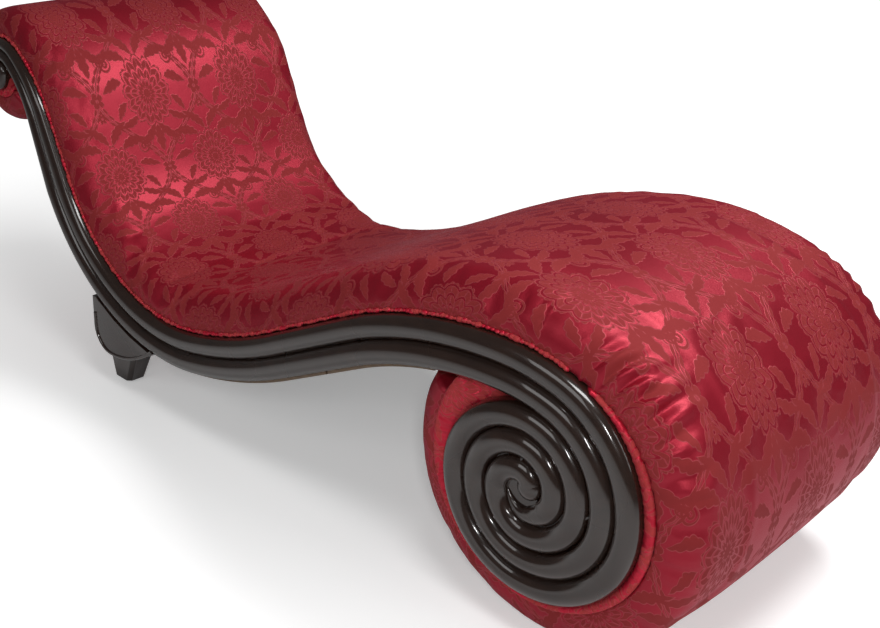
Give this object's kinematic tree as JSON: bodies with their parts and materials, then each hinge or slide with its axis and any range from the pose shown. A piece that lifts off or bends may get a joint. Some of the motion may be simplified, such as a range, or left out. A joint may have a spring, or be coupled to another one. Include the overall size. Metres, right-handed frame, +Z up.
{
  "type": "sofa",
  "caption": "Fainting couch with an S-shaped side frame of two carved beads that coil into spirals, a padded head roll, a dipped seat and a large padded foot drum that stands on the floor",
  "frame": {"origin": "On the floor, under the middle of the couch's length and width", "axes": "+Z up, +X from the head roll towards the foot drum, +Y towards the left hand of a person lying face up with the head on the roll"},
  "size_m": [1.7992, 0.648, 0.7085],
  "materials": {
    "lacquered_wood": "gloss lacquer",
    "frame_timber": "sawn and planed, unfinished",
    "foam": "upholstery foam with wadding, matt",
    "damask": "satin damask",
    "webbing": "woven jute webbing",
    "lining": "black lining cloth",
    "steel": "zinc plated",
    "glide_plastic": "moulded"
  },
  "bodies": {
    "root": {"right_head_scroll": "lacquered_wood", "right_seat_rail": "lacquered_wood", "right_foot_scroll": "lacquered_wood", "right_side_board": "frame_timber", "right_drum_bulkhead": "frame_timber", "right_head_bulkhead": "frame_timber", "right_drum_rim": "damask", "right_head_rim": "damask", "right_leg": "lacquered_wood", "left_head_scroll": "lacquered_wood", "left_seat_rail": "lacquered_wood", "left_foot_scroll": "lacquered_wood", "left_side_board": "frame_timber", "left_drum_bulkhead": "frame_timber", "left_head_bulkhead": "frame_timber", "left_drum_rim": "damask", "left_head_rim": "damask", "left_leg": "lacquered_wood", "leg_bolts": "steel", "leg_glides": "glide_plastic", "corner_blocks": "frame_timber", "rail_screws": "steel", "head_roll_core": "frame_timber", "drum_cross_rails": "frame_timber", "drum_slats": "frame_timber", "upper_back_cross_rail": "frame_timber", "lower_back_cross_rail": "frame_timber", "seat_cross_rail": "frame_timber", "slope_cross_rail": "frame_timber", "hump_cross_rail": "frame_timber", "leg_cross_rail": "frame_timber", "back_webbing": "webbing", "seat_webbing": "webbing", "hump_webbing": "webbing", "head_roll_foam": "foam", "back_foam": "foam", "seat_foam": "foam", "hump_foam": "foam", "drum_foam": "foam", "top_cover": "damask", "drum_cover": "damask", "outside_back_cover": "damask", "dust_cover": "lining"}
  },
  "joints": []
}
